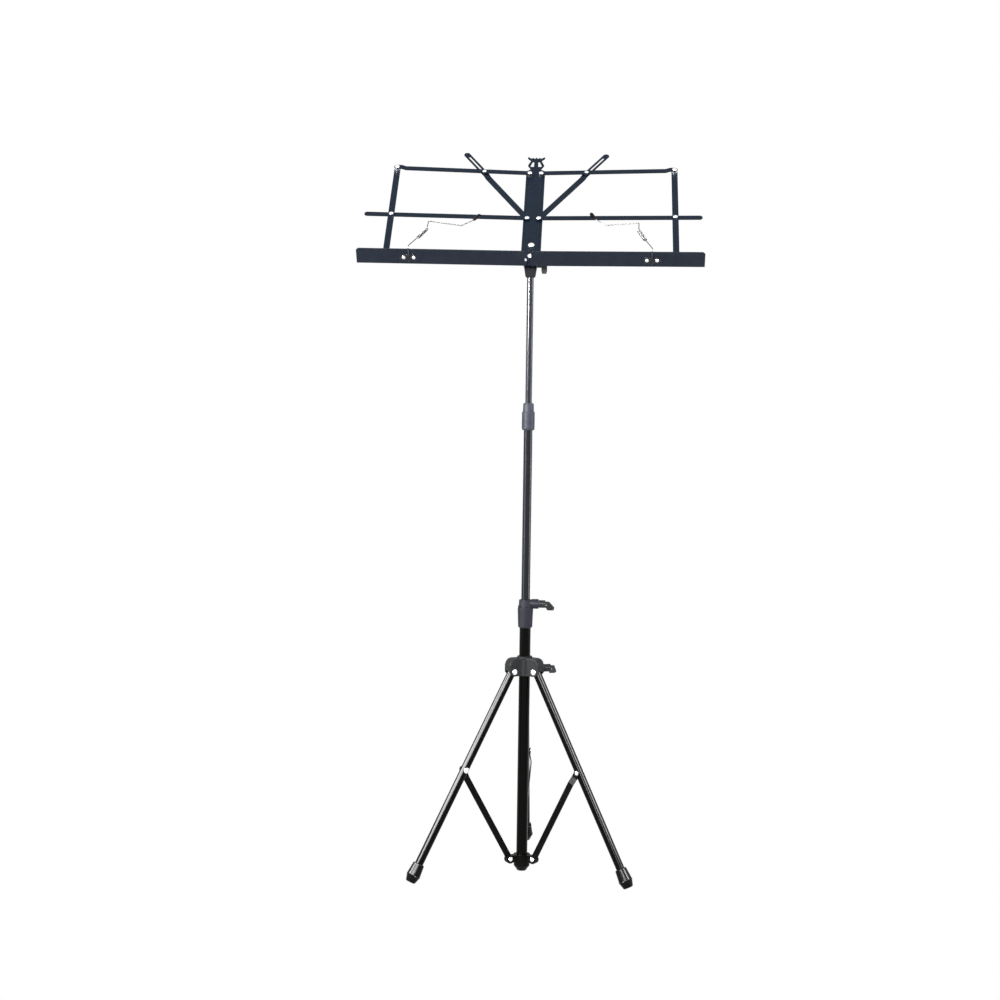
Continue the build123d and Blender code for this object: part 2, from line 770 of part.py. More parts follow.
with BuildPart() as tripod_hub:
    with BuildSketch(Plane.XZ):
        with BuildLine():
            Polyline(
                (0, hub_bottom),
                (hub_band_d / 2, hub_bottom),
                (hub_band_d / 2, hub_band_top),
                (hub_ring_d / 2, hub_band_top + 0.8),
                (hub_ring_d / 2, hub_top - 0.8),
                (hub_ring_d / 2 - 0.8, hub_top),
                (0, hub_top),
                close=True,
            )
        make_face()
    revolve(axis=Axis.Z)
    add(forks)
    with BuildSketch(hub_boss_place):
        Circle(hub_boss_d / 2)
    extrude(amount=hub_boss_face)
    add(fork_cuts, mode=Mode.SUBTRACT)
    add(fork_holes, mode=Mode.SUBTRACT)
    with BuildSketch(Plane.XY.offset(hub_bottom - overcut)):
        Circle(lower_tube_d / 2 + hub_bore_gap)
    extrude(amount=hub_top - hub_bottom + 2 * overcut, mode=Mode.SUBTRACT)
    with BuildSketch(hub_boss_place):
        Circle(screw_d / 2 + running)
    extrude(amount=hub_boss_face + 1, mode=Mode.SUBTRACT)
save(tripod_hub.part, "tripod_hub")

hub_rivet_place = Plane(origin=hub_pivot + Vector(0, fork_half, 0),
                        x_dir=(1, 0, 0), z_dir=(0, -1, 0))
hub_rivet = rivet(hub_rivet_place, rivet_shank_d / 2, 2 * fork_half,
                  hub_head_d / 2, head_height, hub_head_d / 2, head_height)
hub_rivet_set = [hub_rivet.rotate(Axis.Z, a) for a in leg_headings.values()]
with BuildPart() as hub_rivets:
    add(hub_rivet_set)
save(hub_rivets.part, "hub_rivets")

# =================================================================== neck
tilt_pivot = Vector(0, 0, tilt_pivot_z)
neck_top_r = neck_depth / 2
tongue_slot = tongue_thickness + 2 * tongue_gap
with BuildPart() as neck:
    with BuildSketch(Plane.XZ):
        with BuildLine():
            Polyline(
                (-neck_bottom_width / 2 + neck_chamfer, neck_bottom),
                (neck_bottom_width / 2 - neck_chamfer, neck_bottom),
                (neck_bottom_width / 2, neck_bottom + neck_chamfer),
                (neck_width / 2, neck_shoulder),
                (neck_width / 2, tilt_pivot_z + neck_top_r),
                (-neck_width / 2, tilt_pivot_z + neck_top_r),
                (-neck_width / 2, neck_shoulder),
                (-neck_bottom_width / 2, neck_bottom + neck_chamfer),
                close=True,
            )
        make_face()
    extrude(amount=neck_depth / 2, both=True)
    with BuildSketch(Plane.YZ):
        with Locations((0, tilt_pivot_z)):
            Circle(neck_top_r)
        with Locations((0, (neck_bottom + tilt_pivot_z) / 2)):
            Rectangle(neck_depth, tilt_pivot_z - neck_bottom)
    extrude(amount=neck_width, both=True, mode=Mode.INTERSECT)
    fillet(edges().filter_by(Axis.Z), radius=1.5)
    with BuildSketch(Plane.YZ):
        with Locations((0, tilt_pivot_z)):
            Circle(tongue_round + tongue_clear)
        with Locations((0, tilt_pivot_z + neck_top_r)):
            Rectangle(2 * neck_depth, 2 * neck_top_r)
    extrude(amount=tongue_slot / 2, both=True, mode=Mode.SUBTRACT)
    with BuildSketch(Plane.YZ):
        with Locations((0, tilt_pivot_z)):
            Circle(tilt_bolt_d / 2 + running)
    extrude(amount=neck_width, both=True, mode=Mode.SUBTRACT)
    with BuildSketch(Plane.XY.offset(neck_bottom)):
        Circle(upper_tube_d / 2)
    extrude(amount=tube_in_neck, mode=Mode.SUBTRACT)
save(neck.part, "tilt_neck")

# tilt bolt: head on the left, screwed into the knob on the right
bolt_place = Plane(origin=(-neck_width / 2, 0, tilt_pivot_z), x_dir=(0, 1, 0), z_dir=(1, 0, 0))
tilt_bolt_length = neck_width + knob_gap + tilt_stem_length + 3
tilt_bolt = turned(
    bolt_place,
    (
        (0, -tilt_head_height),
        (tilt_head_d / 2 - 0.6, -tilt_head_height),
        (tilt_head_d / 2, -tilt_head_height + 0.6),
        (tilt_head_d / 2, -face_gap),
        (tilt_bolt_d / 2, -face_gap),
        (tilt_bolt_d / 2, tilt_bolt_length),
        (0, tilt_bolt_length),
    ),
)
save(tilt_bolt, "tilt_bolt")

tilt_knob_x = neck_width / 2 + knob_gap
tilt_wing_x = tilt_knob_x + tilt_stem_length
with BuildPart() as tilt_knob:
    with BuildSketch(Plane.XZ):
        with BuildLine():
            Polyline(
                (tilt_wing_x, tilt_pivot_z + tilt_wing_back),
                (tilt_wing_x + tilt_wing_width, tilt_pivot_z + tilt_wing_back),
                (tilt_wing_x + tilt_wing_width, tilt_pivot_z - tilt_wing_reach + 4),
                (tilt_wing_x + tilt_wing_width - 1, tilt_pivot_z - tilt_wing_reach),
                (tilt_wing_x + 1, tilt_pivot_z - tilt_wing_reach),
                (tilt_wing_x, tilt_pivot_z - tilt_wing_reach + 4),
                close=True,
            )
        make_face()
        fillet(vertices(), radius=tilt_wing_corner)
    extrude(amount=tilt_wing_thickness / 2, both=True)
    fillet(faces().sort_by(Axis.Y)[-1].edges(), radius=wing_edge)
    fillet(faces().sort_by(Axis.Y)[0].edges(), radius=wing_edge)
    with BuildSketch(Plane.YZ.offset(tilt_knob_x)):
        with Locations((0, tilt_pivot_z)):
            Circle(tilt_stem_d / 2 + 0.4)
    extrude(amount=tilt_stem_length + 1)
    with BuildSketch(Plane.YZ.offset(tilt_knob_x)):
        with Locations((0, tilt_pivot_z)):
            Circle(tilt_bolt_d / 2)
    extrude(amount=tilt_stem_length + 3, mode=Mode.SUBTRACT)
save(tilt_knob.part, "tilt_knob")

# =========================================================== desk, centre
# the finial's left half from its top, (across, above the shoulders)
finial = (
    (0, 40.1),
    (-1.4, 37.1),
    (-3.0, 36.3),
    (-4.6, 39.4),
    (-6.4, 37.1),
    (-9.0, 38.1),
    (-11.8, 40.9),
    (-12.9, 39.3),
    (-12.2, 36.9),
    (-7.6, 31.9),
    (-12.1, 18.7),
    (-7.8, 9.9),
    (-8.4, 7.7),
    (-13.2, 4.5),
)
finial_window = ((-3.0, 28.7), (-5.0, 29.5), (-8.6, 18.1), (-7.8, 15.4), (-3.2, 15.4))

with BuildPart() as desk_plate:
    with BuildSketch(desk):
        with BuildLine():
            Polyline(
                *((u, plate_shoulder + rise) for u, rise in finial),
                (-plate_half, plate_shoulder),
                (-plate_half, plate_bottom),
                (0, plate_bottom),
            )
            mirror(about=Plane.YZ)
        make_face()
        with BuildLine():
            Polyline(*((u, plate_shoulder + rise) for u, rise in finial_window), close=True)
        make_face(mode=Mode.SUBTRACT)
        with BuildLine():
            Polyline(*((-u, plate_shoulder + rise) for u, rise in finial_window), close=True)
        make_face(mode=Mode.SUBTRACT)
        with Locations(*((s * pivot_u, v) for s in (-1, 1)
                         for v in (top_pivot_v, middle_pivot_v, ledge_pivot_v))):
            Circle(desk_rivet_d / 2, mode=Mode.SUBTRACT)
        with Locations(*((0, v) for v in big_rivet_v)):
            Circle(big_rivet_d / 2, mode=Mode.SUBTRACT)
    extrude(amount=-plate_thickness)
    with BuildSketch(desk):
        with Locations(*((s * (plate_half - plate_line_inset),
                          (plate_bottom + plate_line_inset + plate_line_top) / 2)
                         for s in (-1, 1))):
            SlotOverall(plate_line_top - plate_bottom - plate_line_inset, plate_line_width,
                        rotation=90)
    extrude(amount=-plate_line_depth, mode=Mode.SUBTRACT)
save(desk_plate.part, "desk_plate")

# tilt bracket: base riveted behind the plate, tongue down into the neck
base_back = -plate_thickness - bracket_sheet
with BuildPart() as tilt_bracket:
    with BuildSketch(desk.offset(base_back)):
        with Locations((0, (bracket_base_low + bracket_base_high) / 2)):
            RectangleRounded(bracket_base_width, bracket_base_high - bracket_base_low, 3)
        with Locations(*((0, v) for v in big_rivet_v)):
            Circle(big_rivet_d / 2, mode=Mode.SUBTRACT)
    extrude(amount=bracket_sheet)
    tongue_side = Plane(origin=desk_root, x_dir=desk_up, z_dir=(1, 0, 0))
    with BuildSketch(tongue_side):
        with Locations((tilt_pivot_v, tilt_pivot_n)):
            Circle(tongue_round)
        with BuildLine():
            Polyline(
                (tilt_pivot_v - tongue_round * 0.3, tilt_pivot_n + tongue_round * 0.95),
                (bracket_base_low + 1, base_back),
                (bracket_base_high - 12, base_back),
                (tilt_pivot_v + tongue_round * 0.8, tilt_pivot_n - tongue_round * 0.6),
                close=True,
            )
        make_face()
        with Locations((tilt_pivot_v, tilt_pivot_n)):
            Circle(tilt_bolt_d / 2 + running, mode=Mode.SUBTRACT)
    extrude(amount=tongue_thickness / 2, both=True)
    for rivet_v in big_rivet_v:
        with BuildSketch(desk.offset(base_back)):
            with Locations((0, rivet_v)):
                Circle(big_head_d / 2)
        extrude(amount=-big_head_height, mode=Mode.SUBTRACT)
save(tilt_bracket.part, "tilt_bracket")

big_set = [
    rivet(Plane(origin=desk_root + desk_up * v + desk_out * base_back,
                x_dir=(1, 0, 0), z_dir=desk_out),
          big_rivet_d / 2, plate_thickness + bracket_sheet, big_head_d / 2,
          big_head_height, big_head_d / 2 - 0.6, big_head_height - 0.6)
    for v in big_rivet_v
]
with BuildPart() as big_rivets:
    add(big_set)
save(big_rivets.part, "bracket_plate_rivets")


def on_desk(u, v, n):
    """A place on the desk, facing the reader, from u across, v up, n out."""
    origin = desk_root + Vector(u, 0, 0) + desk_up * v + desk_out * n
    return Plane(origin=origin, x_dir=(1, 0, 0), z_dir=desk_out)


pivot_set = []
spacer_set = []
for sign in (-1, 1):
    grips = (
        (top_pivot_v, rail_back + sheet + face_gap),
        (middle_pivot_v, middle_back + sheet + face_gap),
        (ledge_pivot_v, ledge_back + sheet + face_gap),
    )
    for pivot_v, grip in grips:
        pivot_set.append(rivet(on_desk(sign * pivot_u, pivot_v, -plate_thickness),
                               desk_rivet_d / 2, plate_thickness + grip, desk_head_d / 2,
                               desk_head_height, desk_head_d / 2 - 0.4, desk_tail_height))
    spacer_set.append(ring(on_desk(sign * pivot_u, top_pivot_v, 0),
                           desk_rivet_d / 2, spacer_d / 2, top_spacer))
with BuildPart() as pivot_rivets:
    add(pivot_set)
save(pivot_rivets.part, "desk_pivot_rivets")
with BuildPart() as top_spacers:
    add(spacer_set)
save(top_spacers.part, "top_rail_spacers")


# ============================================================ desk, wings
def along(side, u_from, v_from, turn):
    """A place at a wing pivot, its x running outwards at a turn from level."""
    origin = desk_root + Vector(side * u_from, 0, 0) + desk_up * v_from
    x_dir = Vector(side * cos(radians(turn)), 0, 0) + desk_up * sin(radians(turn))
    return Plane(origin=origin, x_dir=x_dir, z_dir=desk_out)


def slope(back, x, rise):
    """Out-from-plate position of a strap's back face at x, for its rise."""
    return back + x * tan(radians(rise))


def bent(points):
    """A path of straight runs with a round bend at each inner corner."""
    with BuildLine() as path:
        start = points[0]
        for i in range(1, len(points) - 1):
            before = (points[i - 1] - points[i]).normalized()
            after = (points[i + 1] - points[i]).normalized()
            opening = radians(before.get_angle(after))
            cut = wire_bend / tan(opening / 2)
            middle_dir = (before + after).normalized()
            near = wire_bend / sin(opening / 2) - wire_bend
            arc_start = points[i] + before * cut
            arc_end = points[i] + after * cut
            Line(start, arc_start)
            ThreePointArc(arc_start, points[i] + middle_dir * near, arc_end)
            start = arc_end
        Line(start, points[-1])
    return path.wire()


hole_d = desk_rivet_d + 2 * running
rivet_r = desk_rivet_d / 2
half_width = strap_width / 2
joggle_from = wing_length - joggle_start
joggle_to = wing_length - joggle_end
rail_out = slope(rail_back, joggle_to, rail_rise) + joggle_height
strut_low = strut_at_middle - (middle_pivot_v - ledge_pivot_v) * tan(radians(middle_rise))
strut_high = strut_at_middle + (top_pivot_v - middle_pivot_v) * tan(radians(middle_rise))
corner_rise = wing_length * sin(radians(wing_lift))
corner_run = wing_length * cos(radians(wing_lift))

for wing, side in (("left", -1), ("right", 1)):
    top = along(side, pivot_u, top_pivot_v, wing_lift)
    middle = along(side, pivot_u, middle_pivot_v, wing_lift)
    root = along(side, pivot_u, ledge_pivot_v, wing_lift)

    upper_rail = strap(
        top,
        (
            (-half_width, slope(rail_back, -half_width, rail_rise)),
            (joggle_from, slope(rail_back, joggle_from, rail_rise)),
            (joggle_to, rail_out),
            (wing_length + half_width, rail_out),
        ),
        strap_width, sheet, half_width, half_width,
        holes=((0, hole_d), (slide_at, desk_rivet_d), (wing_length, hole_d)),
    )
    save(upper_rail, f"{wing}_upper_rail")

    middle_rail = strap(
        middle,
        (
            (-half_width, slope(middle_back, -half_width, middle_rise)),
            (wing_length + middle_overhang, slope(middle_back, wing_length + middle_overhang,
                                                  middle_rise)),
        ),
        strap_width, sheet, half_width, half_width,
        holes=((0, hole_d), (wing_length, hole_d)),
    )
    save(middle_rail, f"{wing}_middle_rail")

    # end strut: runs parallel to the plate, in front of the mid rail
    strut_top = Plane(
        origin=on_desk(side * (pivot_u + corner_run), top_pivot_v + corner_rise, 0).origin,
        x_dir=-desk_up, z_dir=desk_out)
    strut_span = top_pivot_v - ledge_pivot_v
    strut = strap(
        strut_top,
        (
            (-half_width, strut_high + half_width * tan(radians(middle_rise))),
            (strut_span + half_width, strut_low - half_width * tan(radians(middle_rise))),
        ),
        strut_width, sheet, half_width, half_width,
        holes=((0, desk_rivet_d), (top_pivot_v - middle_pivot_v, desk_rivet_d),
               (strut_span, desk_rivet_d)),
    )
    save(strut, f"{wing}_strut")

    # the strut's three rivets, and the spacers that its layers need
    corner_u = side * (pivot_u + corner_run)
    joints = (
        (top_pivot_v, strut_high, rail_out + sheet),
        (middle_pivot_v, slope(middle_back, wing_length, middle_rise), strut_at_middle + sheet),
        (ledge_pivot_v, ledge_back, strut_low + sheet),
    )
    strut_rivet_set = []
    for joint_v, back_n, front_n in joints:
        place = on_desk(corner_u, joint_v + corner_rise, back_n - face_gap)
        strut_rivet_set.append(rivet(place, rivet_r, front_n - back_n + 2 * face_gap,
                                     desk_head_d / 2, desk_head_height,
                                     desk_head_d / 2 - 0.4, desk_tail_height))
    strut_spacer_set = [
        ring(on_desk(corner_u, top_pivot_v + corner_rise, strut_high + sheet + face_gap),
             rivet_r, spacer_d / 2, rail_out - strut_high - sheet - 2 * face_gap),
        ring(on_desk(corner_u, ledge_pivot_v + corner_rise, ledge_back + sheet + face_gap),
             rivet_r, spacer_d / 2, strut_low - ledge_back - sheet - 2 * face_gap),
    ]
    with BuildPart() as strut_rivets:
        add(strut_rivet_set)
        add(strut_spacer_set)
    save(strut_rivets.part, f"{wing}_strut_rivets")

    # ledge: flange on the plate and shelf towards the reader, one bent sheet
    past = left_ledge_end if side < 0 else right_ledge_end
    with BuildPart() as ledge:
        with BuildSketch(root.offset(ledge_back)):
            with BuildLine():
                Polyline(
                    (0, side * ledge_flange),
                    (ledge_length, side * ledge_flange),
                    (ledge_length, -side * (ledge_pivot_v + sheet)),
                    (-past, -side * (ledge_pivot_v + sheet)),
                    (-ledge_end_round, 0),
                    (-ledge_end_round * 0.7, side * ledge_flange * 0.7),
                    close=True,
                )
            make_face()
        extrude(amount=sheet)
        shelf = Plane(origin=root.origin - root.y_dir * side * (ledge_pivot_v + sheet),
                      x_dir=root.x_dir, z_dir=root.y_dir * side)
        with BuildSketch(shelf):
            with BuildLine():
                Polyline(
                    (-past, -side * ledge_back),
                    (ledge_length, -side * ledge_back),
                    (ledge_length, -side * (ledge_depth - ledge_corner)),
                    (ledge_length - ledge_corner, -side * ledge_depth),
                    (-past, -side * ledge_depth),
                    close=True,
                )
            make_face()
        extrude(amount=sheet)
        with BuildSketch(root):
            Circle(hole_d / 2)
            with Locations((wing_length, 0)):
                Circle(hole_d / 2)
        extrude(amount=3 * sheet, mode=Mode.SUBTRACT)
        with BuildSketch(shelf):
            with Locations(*((clip_at + s * clip_spacing / 2, -side * clip_n) for s in (-1, 1))):
                Circle(clip_rivet_d / 2)
        extrude(amount=sheet, mode=Mode.SUBTRACT)
    save(ledge.part, f"{wing}_ledge")

    # diagonal stay: turns on the middle rivet, its slot takes the slide pin
    stay = along(side, pivot_u, middle_pivot_v, diagonal_lean)
    raised = diagonal_back + diagonal_step
    diagonal = strap(
        stay,
        (
            (-half_width, diagonal_back),
            (diagonal_joggle[0], diagonal_back),
            (diagonal_joggle[1], raised),
            (diagonal_length, raised),
        ),
        diagonal_width, sheet, half_width, half_width,
        holes=((0, hole_d),),
        slot=(slide_s, slide_s + slot_travel, slot_width),
    )
    save(diagonal, f"{wing}_diagonal")

    # slide pin: a shouldered pin that runs in the slot
    slide_base = raised - face_gap - slide_washer
    slide_place = on_desk(side * (pivot_u + slide_run), top_pivot_v + slide_rise, slide_base)
    slide_high = 2 * slide_washer + sheet + 2 * face_gap
    slide_pin = turned(
        slide_place,
        (
            (0, 0),
            (slide_washer_d / 2, 0),
            (slide_washer_d / 2, slide_washer),
            (slot_width / 2 - sliding, slide_washer),
            (slot_width / 2 - sliding, slide_high - slide_washer),
            (slide_washer_d / 2, slide_high - slide_washer),
            (slide_washer_d / 2, slide_high),
            (0, slide_high),
        ),
    )
    save(slide_pin, f"{wing}_slide_pin")
    rail_at_slide = slope(rail_back, slide_at, rail_rise)
    stud_place = on_desk(side * (pivot_u + slide_run), top_pivot_v + slide_rise,
                         rail_at_slide - face_gap)
    rail_stud = rivet(stud_place, rivet_r, sheet + 2 * face_gap, slide_head_d / 2,
                      desk_head_height, rivet_r + 0.5, 0.4)
    save(rail_stud, f"{wing}_rail_stud")

    # page holder: clip under the shelf, riveted flush above, so that pages lie flat
    under = shelf.origin
    clip_point = (under + shelf.x_dir * clip_at + desk_out * clip_n)
    down = -shelf.z_dir
    clip_place = Plane(origin=clip_point + down * face_gap, x_dir=shelf.x_dir, z_dir=down)
    groove_r = wire_d / 2 + face_gap
    groove_depth = wire_d + face_gap
    with BuildPart() as clip:
        with BuildSketch(clip_place):
            with Locations((-clip_spacing / 2, 0), (clip_spacing / 2, 0)):
                Circle(clip_lobe_d / 2)
            Rectangle(clip_spacing, clip_length_n)
        extrude(amount=clip_sheet)
        with BuildSketch(clip_place):
            Rectangle(wire_d + 2 * clip_sheet + 2, clip_length_n)
        extrude(amount=groove_depth + clip_sheet)
        with BuildSketch(clip_place):
            Rectangle(wire_d + 2 * face_gap, 2 * clip_length_n)
        extrude(amount=groove_depth, mode=Mode.SUBTRACT)
        with BuildSketch(clip_place):
            with Locations((-clip_spacing / 2, 0), (clip_spacing / 2, 0)):
                Circle(clip_rivet_d / 2)
        extrude(amount=clip_sheet, mode=Mode.SUBTRACT)
    save(clip.part, f"{wing}_holder_clip")

    clip_rivet_set = [
        rivet(Plane(origin=clip_place.origin + shelf.x_dir * s * clip_spacing / 2
                    - down * (face_gap + sheet), x_dir=shelf.x_dir, z_dir=down),
              clip_rivet_d / 2, sheet + face_gap + clip_sheet, clip_head_d / 2,
              clip_head_height)
        for s in (-1, 1)
    ]
    with BuildPart() as clip_rivets:
        add(clip_rivet_set)
    save(clip_rivets.part, f"{wing}_clip_rivets")

    # wire corners in the world, swung a little about the clip
    hinge_point = clip_place.origin + down * (wire_d / 2 + face_gap / 2)
    turn = left_holder_turn if side < 0 else right_holder_turn
    inward = -shelf.x_dir
    upward = shelf.z_dir
    corners = [hinge_point + desk_out * (wire_tail_n - clip_n),
               hinge_point + desk_out * (holder_path[0][2] - clip_n)]
    for across_in, up, out in holder_path:
        swung_in = across_in * cos(radians(turn)) + up * sin(radians(turn))
        swung_up = up * cos(radians(turn)) - across_in * sin(radians(turn))
        corners.append(hinge_point + inward * swung_in + upward * swung_up
                       + desk_out * (out - clip_n))
    coil_low = corners[3]
    coil_high = corners[4]
    coil_axis = (coil_high - coil_low).normalized()
    coil_length = (coil_high - coil_low).length
    coil_r = (coil_d - wire_d) / 2
    coil_place = Plane(origin=coil_low, z_dir=coil_axis)

    lower_run = bent([*corners[:4]])
    upper_run = bent([*corners[4:]])
    helix = Helix(coil_pitch, coil_length, coil_r, center=coil_low, direction=coil_axis)
    helix_start = helix @ 0
    helix_end = helix @ 1
    with BuildPart() as holder_wire:
        with BuildSketch(Plane(origin=lower_run @ 0, z_dir=lower_run % 0)):
            Circle(wire_d / 2)
        sweep(path=lower_run)
        with BuildSketch(Plane(origin=upper_run @ 0, z_dir=upper_run % 0)):
            Circle(wire_d / 2)
        sweep(path=upper_run)
        with BuildSketch(Plane(origin=helix_start, z_dir=helix % 0)):
            Circle(wire_d / 2)
        sweep(path=helix, is_frenet=True)
        for axis_point, rim_point in ((coil_low, helix_start), (coil_high, helix_end)):
            with BuildSketch(Plane(origin=axis_point, z_dir=rim_point - axis_point)):
                Circle(wire_d / 2)
            extrude(amount=coil_r)
    save(holder_wire.part, f"{wing}_holder_wire")

    tip_dir = (corners[-1] - corners[-2]).normalized()
    sleeve_length = (corners[-1] - corners[-2]).length - wire_bend + sleeve_past_wire
    sleeve_place = Plane(origin=corners[-1] + tip_dir * (sleeve_past_wire - sleeve_length),
                         z_dir=tip_dir)
    sleeve = turned(
        sleeve_place,
        (
            (wire_d / 2, 0),
            (sleeve_root_d / 2, 0),
            (sleeve_tip_d / 2, sleeve_length - 3),
            (sleeve_tip_d / 2 - 0.5, sleeve_length - 1),
            (sleeve_tip_d / 2 - 1.6, sleeve_length),
            (0, sleeve_length),
            (0, sleeve_length - sleeve_past_wire),
            (wire_d / 2, sleeve_length - sleeve_past_wire),
        ),
    )
    save(sleeve, f"{wing}_holder_tip")
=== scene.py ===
import math

import bpy
from mathutils import Matrix, Vector

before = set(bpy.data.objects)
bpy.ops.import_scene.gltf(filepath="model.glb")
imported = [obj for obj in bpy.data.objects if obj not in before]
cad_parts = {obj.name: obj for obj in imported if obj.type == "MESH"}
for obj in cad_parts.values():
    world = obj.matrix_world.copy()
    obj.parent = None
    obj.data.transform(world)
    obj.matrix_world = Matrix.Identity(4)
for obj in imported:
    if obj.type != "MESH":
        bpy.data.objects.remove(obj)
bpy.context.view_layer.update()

# ------------------------------------------------------------------ camera
# metres, degrees and millimetres of lens: a short telephoto at the height of the
# mast's upper tube, fitted to the photograph's framing and its slight roll
DISTANCE = 3.0
AZIMUTH = math.radians(1.985)
HEIGHT = 0.8097
YAW = math.radians(0.737)
PITCH = math.radians(-5.175)
ROLL = math.radians(0.80)
LENS = 76.07
SENSOR = 36.0
NEAR = 0.05
FAR = 50.0

heading = AZIMUTH + YAW
level = Vector((-math.sin(heading), math.cos(heading), 0))
right = Vector((math.cos(heading), math.sin(heading), 0))
forward = level * math.cos(PITCH) + Vector((0, 0, math.sin(PITCH)))
upright = right.cross(forward)
cam_x = right * math.cos(ROLL) + upright * math.sin(ROLL)
cam_y = upright * math.cos(ROLL) - right * math.sin(ROLL)
camera_data = bpy.data.cameras.new("camera")
camera_data.lens = LENS
camera_data.sensor_width = SENSOR
camera_data.clip_start = NEAR
camera_data.clip_end = FAR
camera = bpy.data.objects.new("camera", camera_data)
bpy.context.scene.collection.objects.link(camera)
place = Matrix((cam_x, cam_y, -forward)).transposed().to_4x4()
place.translation = Vector((DISTANCE * math.sin(AZIMUTH), -DISTANCE * math.cos(AZIMUTH), HEIGHT))
camera.matrix_world = place
bpy.context.scene.camera = camera
bpy.context.scene.view_settings.view_transform = "Standard"


# --------------------------------------------------------------- materials
# a colour mix keeps its sockets for each data type in one row
MIX_FACTOR = 0
MIX_FIRST = 6
MIX_SECOND = 7
MIX_RESULT = 2
BEVEL_SAMPLES = 4
# how alike the flat and the rounded normal are: off an edge, and on it
OFF_EDGE = 0.995
ON_EDGE = 0.85
SPECK_SCALE = 300.0
GRAIN_STRENGTH = 0.5
class Nodes:
    """A small helper for building one material's node tree."""

    def __init__(self, name):
        self.material = bpy.data.materials.new(name)
        self.material.use_nodes = True
        self.tree = self.material.node_tree
        self.tree.nodes.clear()
        self.output = self.make("ShaderNodeOutputMaterial")
        self.shader = self.make("ShaderNodeBsdfPrincipled")
        self.join(self.shader, "BSDF", self.output, "Surface")

    def make(self, kind, **settings):
        node = self.tree.nodes.new(kind)
        for key, value in settings.items():
            setattr(node, key, value)
        return node

    def join(self, source, out_name, target, in_name):
        self.tree.links.new(source.outputs[out_name], target.inputs[in_name])

    def coords(self):
        return self.make("ShaderNodeTexCoord")

    def noise(self, coords, scale, detail=3.0, stretch=None):
        noise = self.make("ShaderNodeTexNoise")
        noise.inputs["Scale"].default_value = scale
        noise.inputs["Detail"].default_value = detail
        if stretch:
            mapping = self.make("ShaderNodeMapping")
            mapping.inputs["Scale"].default_value = stretch
            self.join(coords, "Object", mapping, "Vector")
            self.join(mapping, "Vector", noise, "Vector")
        else:
            self.join(coords, "Object", noise, "Vector")
        return noise

    def ramp(self, source, out_name, low, high, low_value, high_value):
        """Maps the range low to high on to low_value to high_value."""
        spread = self.make("ShaderNodeMapRange")
        spread.inputs["From Min"].default_value = low
        spread.inputs["From Max"].default_value = high
        spread.inputs["To Min"].default_value = low_value
        spread.inputs["To Max"].default_value = high_value
        self.join(source, out_name, spread, "Value")
        return spread

    def mix(self, factor, first, second):
        mix = self.make("ShaderNodeMix", data_type="RGBA")
        self.tree.links.new(factor, mix.inputs[MIX_FACTOR])
        mix.inputs[MIX_FIRST].default_value = (*first, 1)
        mix.inputs[MIX_SECOND].default_value = (*second, 1)
        return mix

    def edge_wear_and_glint(self, radius):
        """A factor that is 1 along sharp outer edges and 0 elsewhere."""
        geometry = self.make("ShaderNodeNewGeometry")
        bevel = self.make("ShaderNodeBevel", samples=BEVEL_SAMPLES)
        bevel.inputs["Radius"].default_value = radius
        dot = self.make("ShaderNodeVectorMath", operation="DOT_PRODUCT")
        self.join(geometry, "Normal", dot, 0)
        self.join(bevel, "Normal", dot, 1)
        return self.ramp(dot, "Value", OFF_EDGE, ON_EDGE, 0.0, 1.0)


def finish_material(name, base, other, rough, rough_spread=0.08, metal=0.0, grain=900.0,
                    bump=0.00002, edge=None, edge_radius=0.0004, edge_share=0.6,
                    patch=25.0, stretch=None, specular=0.5):
    """A moulded, painted or plated finish with its mottling, grain and lighter edges: rubbed
    paint on most finishes, a painted highlight on the clip's rims.
    """
    n = Nodes(name)
    coords = n.coords()
    patches = n.noise(coords, patch, 4.0, stretch)
    spread = n.ramp(patches, "Fac", 0.35, 0.65, 0.0, 1.0)
    colour = n.mix(spread.outputs["Result"], base, other)
    last = colour
    # lighter edges: rubbed paint on most finishes, and on the clip a painted highlight
    if edge:
        edge_factor = n.edge_wear_and_glint(edge_radius)
        speck = n.noise(coords, SPECK_SCALE, 2.0)
        broken = n.ramp(speck, "Fac", 0.4, 0.6, 0.35, 1.0)
        times = n.make("ShaderNodeMath", operation="MULTIPLY")
        n.join(edge_factor, "Result", times, 0)
        n.join(broken, "Result", times, 1)
        share = n.make("ShaderNodeMath", operation="MULTIPLY")
        n.join(times, "Value", share, 0)
        share.inputs[1].default_value = edge_share
        lighter_edge = n.make("ShaderNodeMix", data_type="RGBA")
        n.tree.links.new(share.outputs["Value"], lighter_edge.inputs[MIX_FACTOR])
        n.tree.links.new(colour.outputs[MIX_RESULT], lighter_edge.inputs[MIX_FIRST])
        lighter_edge.inputs[MIX_SECOND].default_value = (*edge, 1)
        last = lighter_edge
    n.tree.links.new(last.outputs[MIX_RESULT], n.shader.inputs["Base Color"])
    smudge = n.noise(coords, patch * 3, 3.0)
    shine = n.ramp(smudge, "Fac", 0.3, 0.7, rough - rough_spread, rough + rough_spread)
    n.join(shine, "Result", n.shader, "Roughness")
    n.shader.inputs["Metallic"].default_value = metal
    n.shader.inputs["Specular IOR Level"].default_value = specular
    fine = n.noise(coords, grain, 2.0)
    raised = n.make("ShaderNodeBump")
    raised.inputs["Strength"].default_value = GRAIN_STRENGTH
    raised.inputs["Distance"].default_value = bump
    rounded = n.make("ShaderNodeBevel", samples=BEVEL_SAMPLES)
    rounded.inputs["Radius"].default_value = edge_radius
    n.join(fine, "Fac", raised, "Height")
    n.join(rounded, "Normal", raised, "Normal")
    n.join(raised, "Normal", n.shader, "Normal")
    return n.material


